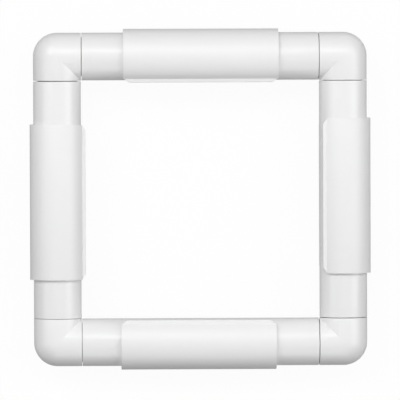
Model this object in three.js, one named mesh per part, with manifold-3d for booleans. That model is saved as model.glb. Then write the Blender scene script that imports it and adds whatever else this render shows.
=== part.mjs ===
import * as THREE from 'three';
import { mergeVertices } from 'three/addons/utils/BufferGeometryUtils.js';
import Module from 'manifold-3d';

// Square snap frame for needlework, in millimetres: four pipes joined by four plug-in elbows, and four
// C-section clamps that trap the fabric on the pipes. It lies flat on its clamps at z = 0, centred on the
// origin, with the fabric side up.

// Frame
const frameSpan = 203.2; // over the outer sides of two opposite pipes
const seamSlack = 0.8; // what a pipe is shorter than the room between two elbows
const fitClearance = 0.3;
const overrun = 4; // how far a cutter passes beyond what it cuts

// Pipes
const tubeRadius = 14.5;
const tubeWall = 1.9;
const brokenEdge = 0.2; // on sawn and moulded ends

// Elbows
const elbowNeck = 0.15; // straight run between the bend and the shoulder
const spigotLength = 19;
const spigotWall = 2.2;
const ribHeight = 0.4; // crush ribs that grip the bore
const ribWidth = 1.8;
const ribCount = 4;
const leadLength = 2.4; // taper at the spigot's tip
const leadDrop = 0.7;

// Clamps
const clampLength = 94.4;
const clampClearance = 0.35;
const clampWall = 1.9;
const mouthAngle = THREE.MathUtils.degToRad(97.5); // between the two creases where the lips turn out
const flareAngle = THREE.MathUtils.degToRad(45); // of a lip to the sleeve's tangent
const flareBend = 1.5; // radius of the crease at mid wall
const lipLength = 2.05; // flat part of a lip
const lipRound = 0.5;
const lipCutLength = 3.7; // legs of the corner cut off at a lip's ends: along the sleeve
const lipCutDepth = 2.9; // and across the lip

// Facets
const roundFacets = 48;
const boreFacets = 20;
const clampFacets = 50;
const ribFacets = 6;
const bendFacets = 2;
const tipFacets = 2;

// The sides of the frame, each turned from the left one. A shift is along the side's own pipe, and a roll
// of a clamp is about it, from a mouth that faces the frame's middle towards one that faces up.
const sides = [
  { name: 'left', turn: 0, tubeShift: -0.15, clampShift: -1.45, roll: -23 },
  { name: 'bottom', turn: 90, tubeShift: 0.1, clampShift: 1.2, roll: -2 },
  { name: 'right', turn: 180, tubeShift: 0, clampShift: -2.1, roll: 3 },
  { name: 'top', turn: 270, tubeShift: 0, clampShift: 0.4, roll: -12 },
];
const corners = [
  { name: 'bottom_left', turn: 0 },
  { name: 'bottom_right', turn: 90 },
  { name: 'top_right', turn: 180 },
  { name: 'top_left', turn: 270 },
];

// Worked out
const pipePitch = frameSpan - 2 * tubeRadius; // between the axes of opposite pipes
const shoulderReach = tubeRadius + elbowNeck; // from an elbow's corner point to its shoulder
const tubeLength = pipePitch - 2 * shoulderReach - seamSlack;
const boreRadius = tubeRadius - tubeWall;
const spigotRadius = boreRadius - fitClearance; // over the crush ribs
const coreRadius = spigotRadius - ribHeight;
const passageRadius = coreRadius - spigotWall;
const clampInner = tubeRadius + clampClearance;
const clampOuter = clampInner + clampWall;
const clampFacet = (2 * Math.PI - mouthAngle) / clampFacets;
const axisHeight = clampOuter * Math.cos(clampFacet / 2); // the flat under each clamp lies at z = 0

const whitePlastic = { color: 0xf1f1ee, metalness: 0 };
const tubeMaterial = new THREE.MeshStandardMaterial({ ...whitePlastic, roughness: 0.28 });
const elbowMaterial = new THREE.MeshStandardMaterial({ ...whitePlastic, roughness: 0.34 });
const clampMaterial = new THREE.MeshStandardMaterial({ ...whitePlastic, roughness: 0.42 });

const wasm = await Module();
wasm.setup();

function toSolid(geometry) {
  const bare = geometry.clone();
  bare.deleteAttribute('normal');
  bare.deleteAttribute('uv');
  const welded = mergeVertices(bare);
  return new wasm.Manifold(
    new wasm.Mesh({
      numProp: 3,
      vertProperties: welded.attributes.position.array,
      triVerts: welded.index.array,
    }),
  );
}

function toGeometry(solid) {
  const mesh = solid.getMesh();
  const geometry = new THREE.BufferGeometry();
  geometry.setAttribute('position', new THREE.BufferAttribute(mesh.vertProperties, 3));
  geometry.setIndex(new THREE.BufferAttribute(mesh.triVerts, 1));
  geometry.computeVertexNormals();
  return geometry;
}

function lathe(points, facets) {
  return new THREE.LatheGeometry(points.map(([radius, along]) => new THREE.Vector2(radius, along)), facets);
}

function arc(center, radius, from, to, steps) {
  return Array.from({ length: steps + 1 }, (_, step) => {
    const angle = THREE.MathUtils.lerp(from, to, step / steps);
    return new THREE.Vector2(Math.cos(angle), Math.sin(angle)).multiplyScalar(radius).add(center);
  });
}

// A sawn length of pipe along Y, with its sharp rims broken
function tubeGeometry() {
  const end = tubeLength / 2;
  const outline = [
    [tubeRadius, brokenEdge - end],
    [tubeRadius, end - brokenEdge],
    [tubeRadius - brokenEdge, end],
    [boreRadius + brokenEdge, end],
    [boreRadius, end - brokenEdge],
    [boreRadius, brokenEdge - end],
    [boreRadius + brokenEdge, -end],
    [tubeRadius - brokenEdge, -end],
    [tubeRadius, brokenEdge - end],
  ];
  return lathe(outline, roundFacets);
}

// One arm of an elbow along Y: half of the body, its shoulder and the spigot that plugs into a pipe
function elbowArm() {
  const tip = shoulderReach + spigotLength;
  const outline = [
    [0, 0],
    [tubeRadius, 0],
    [tubeRadius, shoulderReach - brokenEdge],
    [tubeRadius - brokenEdge, shoulderReach],
    [coreRadius, shoulderReach],
    [coreRadius, tip - leadLength],
    [coreRadius - leadDrop, tip],
    [0, tip],
  ];
  let arm = toSolid(lathe(outline, roundFacets));
  const ribLength = spigotLength - leadLength;
  for (let rib = 0; rib < ribCount; rib += 1) {
    const bar = new THREE.CylinderGeometry(ribWidth / 2, ribWidth / 2, ribLength, ribFacets);
    bar.translate(0, shoulderReach + ribLength / 2, spigotRadius - ribWidth / 2);
    bar.rotateY((2 * Math.PI * (rib + 0.5)) / ribCount);
    arm = arm.add(toSolid(bar));
  }
  return arm;
}

// A moulded corner with arms along +X and +Y. Its two pipe-sized cylinders meet in a mitre on the inside
// and in a ball on the outside, and a passage runs through it from tip to tip.
function elbowGeometry() {
  const toX = new THREE.Matrix4().makeRotationZ(-Math.PI / 2).elements;
  const arm = elbowArm();
  const ball = new THREE.SphereGeometry(tubeRadius, roundFacets, roundFacets / 2).rotateX(Math.PI / 2);
  const reach = shoulderReach + spigotLength + overrun;
  const drill = new THREE.CylinderGeometry(passageRadius, passageRadius, reach, boreFacets);
  drill.translate(0, reach / 2, 0);
  const hollow = new THREE.SphereGeometry(passageRadius, boreFacets, boreFacets / 2).rotateX(Math.PI / 2);
  const passage = toSolid(drill).add(toSolid(drill).transform(toX)).add(toSolid(hollow));
  return toGeometry(arm.add(arm.transform(toX)).add(toSolid(ball)).subtract(passage));
}

// Outline of one lip, from the sleeve's outer wall round the tip to its inner wall
function lipOutline() {
  const root = mouthAngle / 2;
  const radial = new THREE.Vector2(Math.cos(root), Math.sin(root));
  const bendCenter = radial.clone().multiplyScalar(clampInner + clampWall / 2 + flareBend);
  const bendEnd = root + Math.PI + flareAngle;
  const outward = new THREE.Vector2(-Math.cos(bendEnd), -Math.sin(bendEnd));
  const along = new THREE.Vector2(outward.y, -outward.x);
  const tip = bendCenter.clone().addScaledVector(outward, -flareBend).addScaledVector(along, lipLength);
  const roundCenter = tip.clone().addScaledVector(along, -lipRound);
  const inset = clampWall / 2 - lipRound;
  const outerRound = roundCenter.clone().addScaledVector(outward, inset);
  const innerRound = roundCenter.clone().addScaledVector(outward, -inset);
  const points = [
    ...arc(bendCenter, flareBend - clampWall / 2, root + Math.PI, bendEnd, bendFacets),
    ...arc(outerRound, lipRound, bendEnd + Math.PI, bendEnd + Math.PI / 2, tipFacets),
    ...arc(innerRound, lipRound, bendEnd + Math.PI / 2, bendEnd, tipFacets),
    ...arc(bendCenter, flareBend + clampWall / 2, bendEnd, root + Math.PI, bendFacets),
  ];
  return { points, tip, along };
}

// A C-section sleeve along Y with its mouth towards +X: extruded, then its four lip corners cut off
function clampGeometry() {
  const root = mouthAngle / 2;
  const back = 2 * Math.PI - root;
  const middle = new THREE.Vector2(0, 0);
  const lip = lipOutline();
  const lowerLip = lip.points.map((point) => new THREE.Vector2(point.x, -point.y)).reverse();
  const section = new THREE.Shape([
    ...lip.points,
    ...arc(middle, clampInner, root, back, clampFacets).slice(1, -1),
    ...lowerLip,
    ...arc(middle, clampOuter, back, root, clampFacets).slice(1, -1),
  ]);
  const sleeve = new THREE.ExtrudeGeometry(section, {
    depth: clampLength - 2 * brokenEdge,
    bevelThickness: brokenEdge,
    bevelSize: brokenEdge,
    bevelOffset: -brokenEdge,
    bevelSegments: 1,
    curveSegments: 1,
  });
  sleeve.translate(0, 0, brokenEdge - clampLength / 2);
  let clamp = toSolid(sleeve);
  const cutterHalf = lipCutLength + overrun;
  const cutSlant = Math.atan2(lipCutDepth, lipCutLength);
  const lipSlant = Math.atan2(lip.along.y, lip.along.x);
  for (const end of [-1, 1]) {
    for (const face of [-1, 1]) {
      const cutter = new THREE.BoxGeometry(2 * cutterHalf, 2 * cutterHalf, 2 * cutterHalf);
      cutter.translate(cutterHalf - lipCutLength * Math.sin(cutSlant), 0, 0);
      cutter.rotateY(-end * cutSlant);
      cutter.rotateZ(lipSlant * face);
      cutter.translate(lip.tip.x, lip.tip.y * face, (end * clampLength) / 2);
      clamp = clamp.subtract(toSolid(cutter));
    }
  }
  return toGeometry(clamp).rotateX(-Math.PI / 2);
}

// The roll nearest to the given one that puts one of the sleeve's facets flat underneath
function levelRoll(degrees) {
  const down = 1.5 * Math.PI - mouthAngle / 2;
  const facets = Math.round((down - THREE.MathUtils.degToRad(degrees)) / clampFacet - 0.5);
  return down - (facets + 0.5) * clampFacet;
}

function addMesh(group, name, geometry, material) {
  const mesh = new THREE.Mesh(geometry, material);
  mesh.name = name;
  group.add(mesh);
  return mesh;
}

const frame = new THREE.Group();
frame.position.z = axisHeight;
const tubeShape = tubeGeometry();
const elbowShape = elbowGeometry();
const clampShape = clampGeometry();

for (const { name, turn, tubeShift, clampShift, roll } of sides) {
  const side = new THREE.Group();
  side.rotation.z = THREE.MathUtils.degToRad(turn);
  frame.add(side);
  const tube = addMesh(side, `tube_${name}`, tubeShape, tubeMaterial);
  tube.position.set(-pipePitch / 2, tubeShift, 0);
  const clamp = addMesh(side, `clamp_${name}`, clampShape, clampMaterial);
  clamp.position.set(-pipePitch / 2, clampShift, 0);
  clamp.rotation.y = -levelRoll(roll);
}

for (const { name, turn } of corners) {
  const corner = new THREE.Group();
  corner.rotation.z = THREE.MathUtils.degToRad(turn);
  frame.add(corner);
  const elbow = addMesh(corner, `elbow_${name}`, elbowShape, elbowMaterial);
  elbow.position.set(-pipePitch / 2, -pipePitch / 2, 0);
}

const part = new THREE.Group();
part.add(frame);

export default part;
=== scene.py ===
from math import atan2, cos, pi, radians, sin, tan

import bmesh
import bpy
from mathutils import Matrix, Vector


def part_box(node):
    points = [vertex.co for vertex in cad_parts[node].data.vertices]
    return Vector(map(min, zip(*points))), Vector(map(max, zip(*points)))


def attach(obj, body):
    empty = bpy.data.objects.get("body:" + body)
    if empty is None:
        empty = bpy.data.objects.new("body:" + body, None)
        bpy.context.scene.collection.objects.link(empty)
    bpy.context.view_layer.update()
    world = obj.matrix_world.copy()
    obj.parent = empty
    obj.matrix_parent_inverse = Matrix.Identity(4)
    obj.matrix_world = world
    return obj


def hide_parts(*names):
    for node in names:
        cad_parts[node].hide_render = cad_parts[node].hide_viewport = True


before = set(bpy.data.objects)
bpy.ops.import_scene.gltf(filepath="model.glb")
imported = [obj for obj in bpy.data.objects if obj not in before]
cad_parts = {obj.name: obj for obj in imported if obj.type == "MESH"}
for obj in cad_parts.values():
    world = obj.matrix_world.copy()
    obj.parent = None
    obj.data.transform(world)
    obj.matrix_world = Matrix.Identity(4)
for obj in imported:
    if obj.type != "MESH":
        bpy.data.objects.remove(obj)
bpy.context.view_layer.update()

# Pipes: four equal sawn lengths of white extruded plastic pipe, 29 mm across with a wall of just
# under 2 mm. They are plain inside and out, and the saw's sharp rims are broken. The elbows plug
# into their bores.

SIDES = {"left": 0, "bottom": 90, "right": 180, "top": 270}
PIPE_WALL = 0.0019
BROKEN_EDGE = 0.0002
EDGE_STEPS = 4
PIPE_STEPS = 144
PIPE_SHARP = radians(40)
WELD_GAP = 1e-7

WHITE = (0.86, 0.86, 0.86, 1)
PIPE_ROUGHNESS = 0.26
PLASTIC_IOR = 1.52
MOTTLE_SCALE = 60
MOTTLE_DETAIL = 4
DARKEST, PALEST = 0.985, 1.01
GLOSSIEST, DULLEST = 0.9, 1.05
LINE_STRETCH = 0.02
LINE_DETAIL = 3
PIPE_LINE_SCALE = 900
PIPE_LINE_STRENGTH = 0.12
BUMP_DEPTH = 0.0001

pipe_low, pipe_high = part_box("tube_top")
pipe_radius = (pipe_high.z - pipe_low.z) / 2
pipe_length = pipe_high.x - pipe_low.x
axis_height = (pipe_high.z + pipe_low.z) / 2
half_pitch = (pipe_high.y + pipe_low.y) / 2
bore_radius = pipe_radius - PIPE_WALL


def turned(outline, edges, steps):
    """A full turn about Y of an outline of (radius, along) points, as a closed skin."""
    bm = bmesh.new()
    points = [bm.verts.new((radius, along, 0)) for radius, along in outline]
    lines = [bm.edges.new((points[a], points[b])) for a, b in edges]
    bmesh.ops.spin(bm, geom=points + lines, cent=(0, 0, 0), axis=(0, 1, 0), angle=2 * pi,
                   steps=steps, use_merge=True)
    bmesh.ops.remove_doubles(bm, verts=bm.verts, dist=WELD_GAP)
    bmesh.ops.recalc_face_normals(bm, faces=bm.faces)
    return bm


def rounded_corner(corner, toward_start, toward_end):
    """Points of a broken edge at a corner of an outline whose two sides meet at a right angle."""
    corner, start, end = Vector(corner), Vector(toward_start), Vector(toward_end)
    center = corner + (start + end) * BROKEN_EDGE
    turn = [i / EDGE_STEPS * pi / 2 for i in range(EDGE_STEPS + 1)]
    return [tuple(center - end * BROKEN_EDGE * cos(t) - start * BROKEN_EDGE * sin(t)) for t in turn]


def placed(bm, name, place, node, material, sharp):
    """The finished piece in its place. Its own_place attribute keeps where each point was made."""
    mesh = bpy.data.meshes.new(name)
    bm.to_mesh(mesh)
    bm.free()
    own_place = mesh.attributes.new("own_place", "FLOAT_VECTOR", "POINT")
    spots = [0.0] * (3 * len(mesh.vertices))
    mesh.vertices.foreach_get("co", spots)
    own_place.data.foreach_set("vector", spots)
    mesh.transform(place)
    mesh.shade_smooth()
    mesh.set_sharp_from_angle(angle=sharp)
    mesh.materials.append(material)
    piece = bpy.data.objects.new(name, mesh)
    bpy.context.scene.collection.objects.link(piece)
    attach(piece, node)
    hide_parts(node)
    return piece


def white_plastic(name, color, roughness):
    """White glossy plastic with faint mottling and uneven gloss, fixed to the piece as it is made."""
    material = bpy.data.materials.new(name)
    material.use_nodes = True
    nodes, links = material.node_tree.nodes, material.node_tree.links
    shader = nodes["Principled BSDF"]
    shader.inputs["IOR"].default_value = PLASTIC_IOR
    place = nodes.new("ShaderNodeAttribute")
    place.attribute_name = "own_place"
    clouds = nodes.new("ShaderNodeTexNoise")
    clouds.inputs["Scale"].default_value = MOTTLE_SCALE
    clouds.inputs["Detail"].default_value = MOTTLE_DETAIL
    links.new(place.outputs["Vector"], clouds.inputs["Vector"])
    tint = nodes.new("ShaderNodeMix")
    tint.data_type = "RGBA"
    tint.inputs["A"].default_value = tuple(c * DARKEST for c in color[:3]) + (1,)
    tint.inputs["B"].default_value = tuple(min(c * PALEST, 1) for c in color[:3]) + (1,)
    links.new(clouds.outputs["Fac"], tint.inputs["Factor"])
    links.new(tint.outputs["Result"], shader.inputs["Base Color"])
    gloss = nodes.new("ShaderNodeMapRange")
    gloss.inputs["To Min"].default_value = roughness * GLOSSIEST
    gloss.inputs["To Max"].default_value = roughness * DULLEST
    links.new(clouds.outputs["Fac"], gloss.inputs["Value"])
    links.new(gloss.outputs["Result"], shader.inputs["Roughness"])
    return material, place


def add_bump(material, height, strength):
    """A bump of the given height pattern on a white plastic."""
    nodes, links = material.node_tree.nodes, material.node_tree.links
    bump = nodes.new("ShaderNodeBump")
    bump.inputs["Strength"].default_value = strength
    bump.inputs["Distance"].default_value = BUMP_DEPTH
    links.new(height, bump.inputs["Height"])
    links.new(bump.outputs["Normal"], nodes["Principled BSDF"].inputs["Normal"])


def die_lines(material, place, scale):
    """Faint lines that the extruder's die leaves along the piece."""
    nodes, links = material.node_tree.nodes, material.node_tree.links
    along = nodes.new("ShaderNodeMapping")
    along.inputs["Scale"].default_value = (1, LINE_STRETCH, 1)
    lines = nodes.new("ShaderNodeTexNoise")
    lines.inputs["Scale"].default_value = scale
    lines.inputs["Detail"].default_value = LINE_DETAIL
    links.new(place.outputs["Vector"], along.inputs["Vector"])
    links.new(along.outputs["Vector"], lines.inputs["Vector"])
    return lines.outputs["Fac"]


pipe_plastic, pipe_place = white_plastic("pipe_plastic", WHITE, PIPE_ROUGHNESS)
add_bump(pipe_plastic, die_lines(pipe_plastic, pipe_place, PIPE_LINE_SCALE), PIPE_LINE_STRENGTH)

pipe_end = pipe_length / 2
pipe_outline = (
    rounded_corner((pipe_radius, pipe_end), (0, -1), (-1, 0))
    + rounded_corner((bore_radius, pipe_end), (1, 0), (0, -1))
    + rounded_corner((bore_radius, -pipe_end), (0, 1), (1, 0))
    + rounded_corner((pipe_radius, -pipe_end), (-1, 0), (0, 1))
)
pipe_edges = [(i, (i + 1) % len(pipe_outline)) for i in range(len(pipe_outline))]

for side, turn in SIDES.items():
    low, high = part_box(f"tube_{side}")
    middle = (low + high) / 2
    place = Matrix.Translation(middle) @ Matrix.Rotation(radians(turn), 4, "Z")
    pipe = turned(pipe_outline, pipe_edges, PIPE_STEPS)
    placed(pipe, f"pipe_{side}", place, f"tube_{side}", pipe_plastic, PIPE_SHARP)

# Elbows: four moulded white plastic corners, flush with the pipes. Two pipe-sized arms meet in a
# crisp mitre on the inside and a ball on the outside, and two ribbed spigots grip the pipes' bores.

CORNERS = {"bottom_left": 0, "bottom_right": 90, "top_right": 180, "top_left": 270}
FIT_CLEARANCE = 0.0003
SPIGOT_LENGTH = 0.019
SPIGOT_WALL = 0.0022
LEAD_LENGTH = 0.0024
LEAD_DROP = 0.0007
RIB_COUNT = 4
RIB_HEIGHT = 0.0004
RIB_START = 0.0006
BALL_STEPS = 24
ELBOW_STEPS = 96
ELBOW_SHARP = radians(18)
MITRE_WELD_GAP = 1e-6

ELBOW_ROUGHNESS = 0.35
GRAIN_SCALE = 500
GRAIN_DETAIL = 2
GRAIN_STRENGTH = 0.08

elbow_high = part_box("elbow_bottom_left")[1]
elbow_tip = elbow_high.x + half_pitch
shoulder = elbow_tip - SPIGOT_LENGTH
core_radius = bore_radius - FIT_CLEARANCE - RIB_HEIGHT
passage_radius = core_radius - SPIGOT_WALL


def elbow_arm():
    """The +Y arm with the whole ball at its foot and its passage, before the mitre cut."""
    ball_turn = [i / BALL_STEPS * pi / 2 for i in range(BALL_STEPS + 1)]
    ball = [(sin(t), -cos(t)) for t in ball_turn]
    rib_low, rib_high = shoulder + RIB_START, elbow_tip - LEAD_LENGTH
    outline = (
        [(pipe_radius * r, pipe_radius * y) for r, y in ball]
        + rounded_corner((pipe_radius, shoulder), (0, -1), (-1, 0))
        + [
            (core_radius, shoulder),
            (core_radius, rib_low),
            (core_radius, rib_high),
            (core_radius - LEAD_DROP, elbow_tip),
            (passage_radius, elbow_tip),
        ]
        + [(passage_radius * r, passage_radius * y) for r, y in reversed(ball)]
    )
    edges = [(i, i + 1) for i in range(len(outline) - 1)]
    bm = turned(outline, edges, ELBOW_STEPS)
    band = []
    for face in bm.faces:
        middle = face.calc_center_median()
        on_core = Vector((middle.x, middle.z)).length > core_radius - LEAD_DROP / 4
        if on_core and rib_low < middle.y < rib_high:
            band.append(face)
    for rib in range(RIB_COUNT):
        spoke = 2 * pi * (rib + 0.5) / RIB_COUNT
        direction = Vector((cos(spoke), 0, sin(spoke)))
        facing = cos(2 * pi / ELBOW_STEPS)
        rib_faces = [f for f in band if f.is_valid and f.normal.dot(direction) > facing]
        raised = bmesh.ops.extrude_face_region(bm, geom=rib_faces)["geom"]
        bmesh.ops.delete(bm, geom=rib_faces, context="FACES_ONLY")
        verts = [v for v in raised if isinstance(v, bmesh.types.BMVert)]
        bmesh.ops.translate(bm, verts=verts, vec=direction * RIB_HEIGHT)
    return bm


def doubled(bm, matrix, weld_gap):
    """The mesh and its mirror image, joined where they meet, with its faces pointing outwards."""
    twin = bmesh.ops.duplicate(bm, geom=bm.verts[:] + bm.edges[:] + bm.faces[:])["geom"]
    twin_verts = [v for v in twin if isinstance(v, bmesh.types.BMVert)]
    bmesh.ops.transform(bm, matrix=matrix, verts=twin_verts)
    bmesh.ops.remove_doubles(bm, verts=bm.verts, dist=weld_gap)
    bmesh.ops.recalc_face_normals(bm, faces=bm.faces)
    return bm


def elbow_skin():
    """Two arms, cut on the mitre between them and joined there."""
    bm = elbow_arm()
    bmesh.ops.bisect_plane(bm, geom=bm.verts[:] + bm.edges[:] + bm.faces[:], dist=WELD_GAP,
                           plane_co=(0, 0, 0), plane_no=(1, -1, 0), clear_outer=True)
    swap = Matrix(((0, 1, 0, 0), (1, 0, 0, 0), (0, 0, 1, 0), (0, 0, 0, 1)))
    return doubled(bm, swap, MITRE_WELD_GAP)


elbow_plastic, elbow_place = white_plastic("elbow_plastic", WHITE, ELBOW_ROUGHNESS)
elbow_grain = elbow_plastic.node_tree.nodes.new("ShaderNodeTexNoise")
elbow_grain.inputs["Scale"].default_value = GRAIN_SCALE
elbow_grain.inputs["Detail"].default_value = GRAIN_DETAIL
elbow_plastic.node_tree.links.new(elbow_place.outputs["Vector"], elbow_grain.inputs["Vector"])
add_bump(elbow_plastic, elbow_grain.outputs["Fac"], GRAIN_STRENGTH)

for corner, turn in CORNERS.items():
    spin = Matrix.Rotation(radians(turn), 4, "Z")
    place = spin @ Matrix.Translation((-half_pitch, -half_pitch, axis_height))
    placed(elbow_skin(), f"corner_{corner}", place, f"elbow_{corner}", elbow_plastic,
           ELBOW_SHARP)

# Clamps: four lengths of thin white extruded sleeve, open along one side, that snap over the pipes.
# Both long lips flare out for the fingers, with rounded tips, and their end corners are cut off.
# On the real frame they turn round the pipe; here each sits rolled by its own angle.

MOUTH = radians(97.5)
CLAMP_CLEARANCE = 0.00035
FLARE = radians(45)
FLARE_BEND = 0.0015
LIP_LENGTH = 0.00205
CUT_LENGTH = 0.0037
CUT_DEPTH = 0.0029
CUT_ROUND = 0.0013
RIM_ROUND = 0.0005
RIM_SEGMENTS = 3
SAWN_SHARE = 0.1
WRAP_STEPS = 50
BEND_STEPS = 4
CUT_STEPS = 6
CLAMP_SHARP = radians(30)
CLAMP_ROLLS = {"left": -22.875, "bottom": -1.875, "right": 3.375, "top": -12.375}

CLAMP_ROUGHNESS = 0.44
CLAMP_LINE_SCALE = 700
CLAMP_LINE_STRENGTH = 0.1

clamp_inner = pipe_radius + CLAMP_CLEARANCE
clamp_wall = axis_height - clamp_inner
clamp_middle = clamp_inner + clamp_wall / 2


def run_on(bm, edge, center, angle, steps):
    """Sweeps the sheet's last edge about an axis along Y and returns the new last edge."""
    swept = bmesh.ops.spin(bm, geom=edge, cent=center, axis=(0, 1, 0), angle=angle, steps=steps)
    return swept["geom_last"]


def clamp_sheet(length):
    """The sleeve at mid wall, as a sheet: half of it from the back to a lip, cut and mirrored.

    Its rims carry the share of the full rounding that they get: all of it on the lips and a little
    on the sawn ends.
    """
    bm = bmesh.new()
    ends = [bm.verts.new((-clamp_middle, y, 0)) for y in (-length / 2, length / 2)]
    last = ends + [bm.edges.new(ends)]
    root = MOUTH / 2
    last = run_on(bm, last, (0, 0, 0), pi - root, WRAP_STEPS)
    bend_reach = clamp_middle + FLARE_BEND
    bend_center = (bend_reach * cos(root), 0, bend_reach * sin(root))
    last = run_on(bm, last, bend_center, -FLARE, BEND_STEPS)
    heading = root - pi / 2 + FLARE
    along_lip = Vector((cos(heading), 0, sin(heading)))
    crease = [e for e in last if isinstance(e, bmesh.types.BMEdge)]
    lip = bmesh.ops.extrude_edge_only(bm, edges=crease)["geom"]
    lip_verts = [v for v in lip if isinstance(v, bmesh.types.BMVert)]
    bmesh.ops.translate(bm, verts=lip_verts, vec=along_lip * LIP_LENGTH)
    tip = Vector((lip_verts[0].co.x, 0, lip_verts[0].co.z))
    slant = atan2(CUT_DEPTH, CUT_LENGTH)
    for end in (-1, 1):
        across = Vector((0, end, 0))
        at_tip = tip + across * (length / 2 - CUT_LENGTH)
        at_tip -= (along_lip + across * tan(slant / 2)) * CUT_ROUND
        at_end = tip - along_lip * CUT_DEPTH + across * length / 2
        at_end -= (across + along_lip * tan(pi / 4 - slant / 2)) * CUT_ROUND
        for step in range(1, CUT_STEPS):
            lean = step / CUT_STEPS * pi / 2
            normal = along_lip * cos(lean) + across * sin(lean)
            touch = (at_tip if lean < slant else at_end) + normal * CUT_ROUND
            bmesh.ops.bisect_plane(bm, geom=bm.verts[:] + bm.edges[:] + bm.faces[:], dist=WELD_GAP,
                                   plane_co=touch, plane_no=normal, clear_outer=True)
    doubled(bm, Matrix.Diagonal((1, 1, -1, 1)), WELD_GAP)
    rounding = bm.edges.layers.float.new("bevel_weight_edge")
    for edge in bm.edges:
        if edge.is_boundary:
            middle = (edge.verts[0].co + edge.verts[1].co) / 2
            middle.z = abs(middle.z)
            on_lip = (tip - middle).dot(along_lip) < LIP_LENGTH
            edge[rounding] = 1 if on_lip else SAWN_SHARE
    return bm


clamp_plastic, clamp_place = white_plastic("clamp_plastic", WHITE, CLAMP_ROUGHNESS)
clamp_lines = die_lines(clamp_plastic, clamp_place, CLAMP_LINE_SCALE)
add_bump(clamp_plastic, clamp_lines, CLAMP_LINE_STRENGTH)

for side, turn in SIDES.items():
    low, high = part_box(f"clamp_{side}")
    middle = (low + high) / 2
    if side in ("left", "right"):
        length = high.y - low.y
        spot = Vector((-half_pitch if side == "left" else half_pitch, middle.y, axis_height))
    else:
        length = high.x - low.x
        spot = Vector((middle.x, -half_pitch if side == "bottom" else half_pitch, axis_height))
    place = Matrix.Translation(spot) @ Matrix.Rotation(radians(turn), 4, "Z")
    place = place @ Matrix.Rotation(-radians(CLAMP_ROLLS[side]), 4, "Y")
    sleeve = placed(clamp_sheet(length), f"sleeve_{side}", place, f"clamp_{side}",
                    clamp_plastic, CLAMP_SHARP)
    wall = sleeve.modifiers.new("wall", "SOLIDIFY")
    wall.thickness = clamp_wall
    wall.offset = 0
    wall.use_even_offset = True
    rim = sleeve.modifiers.new("rim", "BEVEL")
    rim.width = RIM_ROUND
    rim.segments = RIM_SEGMENTS
    rim.limit_method = "WEIGHT"

# Floor: a plain white table, a hair below the clamps so that no surfaces coincide. The camera sees
# it as white paper with a faint shadow, and the plastic's gloss sees it at under half that white.

FLOOR_SPAN = 6
FLOOR_GAP = 0.00005
FULL_WHITE = 1
PAPER_BOUNCE = (0.08, 0.08, 0.08, 1)
PAPER_TO_CAMERA = (0.9, 0.9, 0.9, 1)
PAPER_GLOW = {"Is Camera Ray": 0.95, "Is Transmission Ray": 0.95, "Is Glossy Ray": 0.45}

bm = bmesh.new()
bmesh.ops.create_grid(bm, x_segments=1, y_segments=1, size=FLOOR_SPAN / 2,
                      matrix=Matrix.Translation((0, 0, -FLOOR_GAP)))
floor_mesh = bpy.data.meshes.new("floor")
bm.to_mesh(floor_mesh)
bm.free()
floor = bpy.data.objects.new("floor", floor_mesh)
bpy.context.scene.collection.objects.link(floor)

paper = bpy.data.materials.new("paper")
paper.use_nodes = True
paper_nodes, paper_links = paper.node_tree.nodes, paper.node_tree.links
paper_nodes.clear()
paper_out = paper_nodes.new("ShaderNodeOutputMaterial")
paper_path = paper_nodes.new("ShaderNodeLightPath")
paper_color = paper_nodes.new("ShaderNodeMixRGB")
paper_color.inputs["Color1"].default_value = PAPER_BOUNCE
paper_color.inputs["Color2"].default_value = PAPER_TO_CAMERA
paper_diffuse = paper_nodes.new("ShaderNodeBsdfDiffuse")
paper_glow = paper_nodes.new("ShaderNodeEmission")
paper_glow.inputs["Strength"].default_value = FULL_WHITE
paper_mix = paper_nodes.new("ShaderNodeMixShader")
either_ray = paper_nodes.new("ShaderNodeMath")
either_ray.operation = "MAXIMUM"
any_ray = paper_nodes.new("ShaderNodeMath")
any_ray.operation = "MAXIMUM"
share_sockets = (any_ray.inputs[0], either_ray.inputs[0], either_ray.inputs[1])
for socket, (ray, share) in zip(share_sockets, PAPER_GLOW.items()):
    ray_share = paper_nodes.new("ShaderNodeMath")
    ray_share.operation = "MULTIPLY"
    ray_share.inputs[1].default_value = share
    paper_links.new(paper_path.outputs[ray], ray_share.inputs[0])
    paper_links.new(ray_share.outputs["Value"], socket)
paper_links.new(either_ray.outputs["Value"], any_ray.inputs[1])
paper_links.new(paper_path.outputs["Is Camera Ray"], paper_color.inputs["Fac"])
paper_links.new(paper_color.outputs["Color"], paper_diffuse.inputs["Color"])
paper_links.new(any_ray.outputs["Value"], paper_mix.inputs["Fac"])
paper_links.new(paper_diffuse.outputs["BSDF"], paper_mix.inputs[1])
paper_links.new(paper_glow.outputs["Emission"], paper_mix.inputs[2])
paper_links.new(paper_mix.outputs["Shader"], paper_out.inputs["Surface"])
floor_mesh.materials.append(paper)

# Light: a small soft box high beyond the frame's top side draws the narrow highlights on the upper
# and lower pipes. Wide ones round the table and a dim white room, which the camera sees as white,
# light the rest. Each soft box has its azimuth and elevation in degrees, its size and its watts.

SOFTBOX_REACH = 3.2
SOFTBOXES = {
    "far": (90, 62, 0.75, 14.7),
    "far_left": (135, 45, 1.8, 41.1),
    "far_right": (45, 45, 1.8, 20.8),
    "right": (0, 32, 1.8, 32.3),
    "left": (180, 33, 1.8, 15.9),
    "near": (270, 30, 1.8, 15.6),
}
ROOM_WHITE = (1, 1, 1, 1)
ROOM_LIGHT = 0.2

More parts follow.
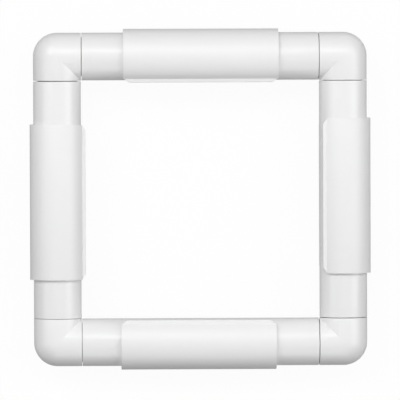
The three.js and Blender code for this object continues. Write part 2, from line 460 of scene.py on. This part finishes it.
for name, (azimuth, elevation, size, watts) in SOFTBOXES.items():
    lamp = bpy.data.lights.new(name, "AREA")
    lamp.shape = "SQUARE"
    lamp.size = size
    lamp.energy = watts
    swing = Matrix.Rotation(radians(azimuth), 4, "Z") @ Matrix.Rotation(-radians(elevation), 4, "Y")
    away = swing @ Vector((1, 0, 0))
    softbox = bpy.data.objects.new(name, lamp)
    softbox.location = away * SOFTBOX_REACH + Vector((0, 0, axis_height))
    softbox.rotation_euler = (-away).to_track_quat("-Z", "Y").to_euler()
    bpy.context.scene.collection.objects.link(softbox)

world = bpy.data.worlds.new("room")
bpy.context.scene.world = world
world.use_nodes = True
room_nodes, room_links = world.node_tree.nodes, world.node_tree.links
room = room_nodes["Background"]
room.inputs["Color"].default_value = ROOM_WHITE
room_path = room_nodes.new("ShaderNodeLightPath")
room_strength = room_nodes.new("ShaderNodeMapRange")
room_strength.inputs["To Min"].default_value = ROOM_LIGHT
room_strength.inputs["To Max"].default_value = FULL_WHITE
room_links.new(room_path.outputs["Is Camera Ray"], room_strength.inputs["Value"])
room_links.new(room_strength.outputs["Result"], room.inputs["Strength"])

# Camera: high above the table and nearly straight down, as the photograph was taken. It stands a
# little to one side of the frame's middle, so the pipes show slightly more of one flank.

DISTANCE = 3.5
PITCH = radians(1.75)
YAW = radians(1.15)
ROLL = radians(0.19)
PIXELS_PER_METRE = 1640.3
IMAGE_PIXELS = 400
SENSOR_WIDTH = 36
CLIP_END = 20
AIM = Vector((-0.18, -0.56, 0)) / 1000

camera_data = bpy.data.cameras.new("camera")
camera_data.sensor_width = SENSOR_WIDTH
camera_data.lens = SENSOR_WIDTH * PIXELS_PER_METRE * DISTANCE / IMAGE_PIXELS
camera_data.clip_end = CLIP_END
camera = bpy.data.objects.new("camera", camera_data)
bpy.context.scene.collection.objects.link(camera)
bpy.context.scene.camera = camera
to_camera = Matrix.Rotation(ROLL, 4, "Z") @ Matrix.Rotation(PITCH, 4, "X")
to_camera = to_camera @ Matrix.Rotation(YAW, 4, "Y")
eye = Matrix.Translation((AIM.x, AIM.y, DISTANCE))
camera.matrix_world = Matrix.Translation((0, 0, axis_height)) @ to_camera.inverted() @ eye

bpy.context.scene.view_settings.view_transform = "Standard"
